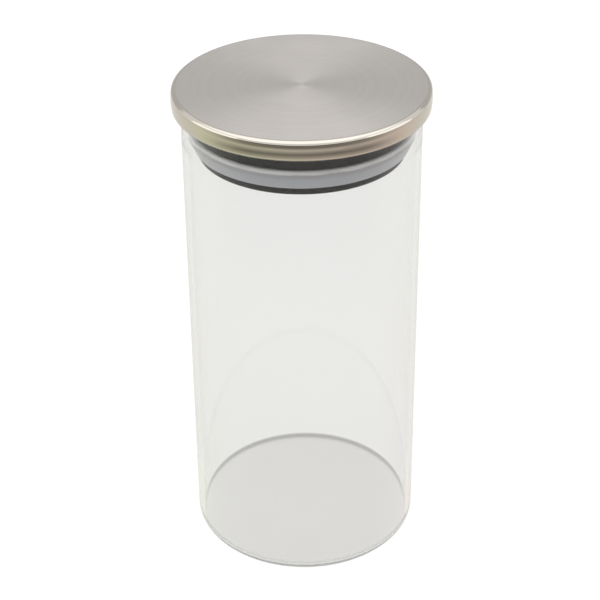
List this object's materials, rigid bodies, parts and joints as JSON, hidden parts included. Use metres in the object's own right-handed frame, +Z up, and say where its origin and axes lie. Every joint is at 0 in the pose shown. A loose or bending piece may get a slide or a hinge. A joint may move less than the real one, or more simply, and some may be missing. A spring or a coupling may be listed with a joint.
{
  "type": "lidded glass canister",
  "caption": "Straight-sided round glass storage jar with a steel-capped lid that plugs into its mouth and seals with a soft ring.",
  "frame": {"origin": "centre of the flat ring that the jar stands on", "axes": "+Z up along the jar's axis, which is also the lid's; +X to the right and +Y away, seen from the front, and the form is the same all round"},
  "size_m": [0.1074, 0.1074, 0.2158],
  "materials": {
    "clear_glass": "clear borosilicate, fire-polished rim",
    "brushed_steel": "top brushed in circles, rim polished",
    "black_plastic": "satin moulded polypropylene",
    "silicone": "milky translucent silicone"
  },
  "bodies": {
    "jar": {"glass_jar": "clear_glass"},
    "lid": {"lid_cover": "brushed_steel", "lid_core": "black_plastic", "seal_ring": "silicone", "lid_base_plate": "black_plastic"}
  },
  "joints": [
    {"name": "lid_lift", "type": "slide", "parent": "jar", "child": "lid", "axis": [0, 0, 1], "range_m": [0, 0.08]}
  ]
}
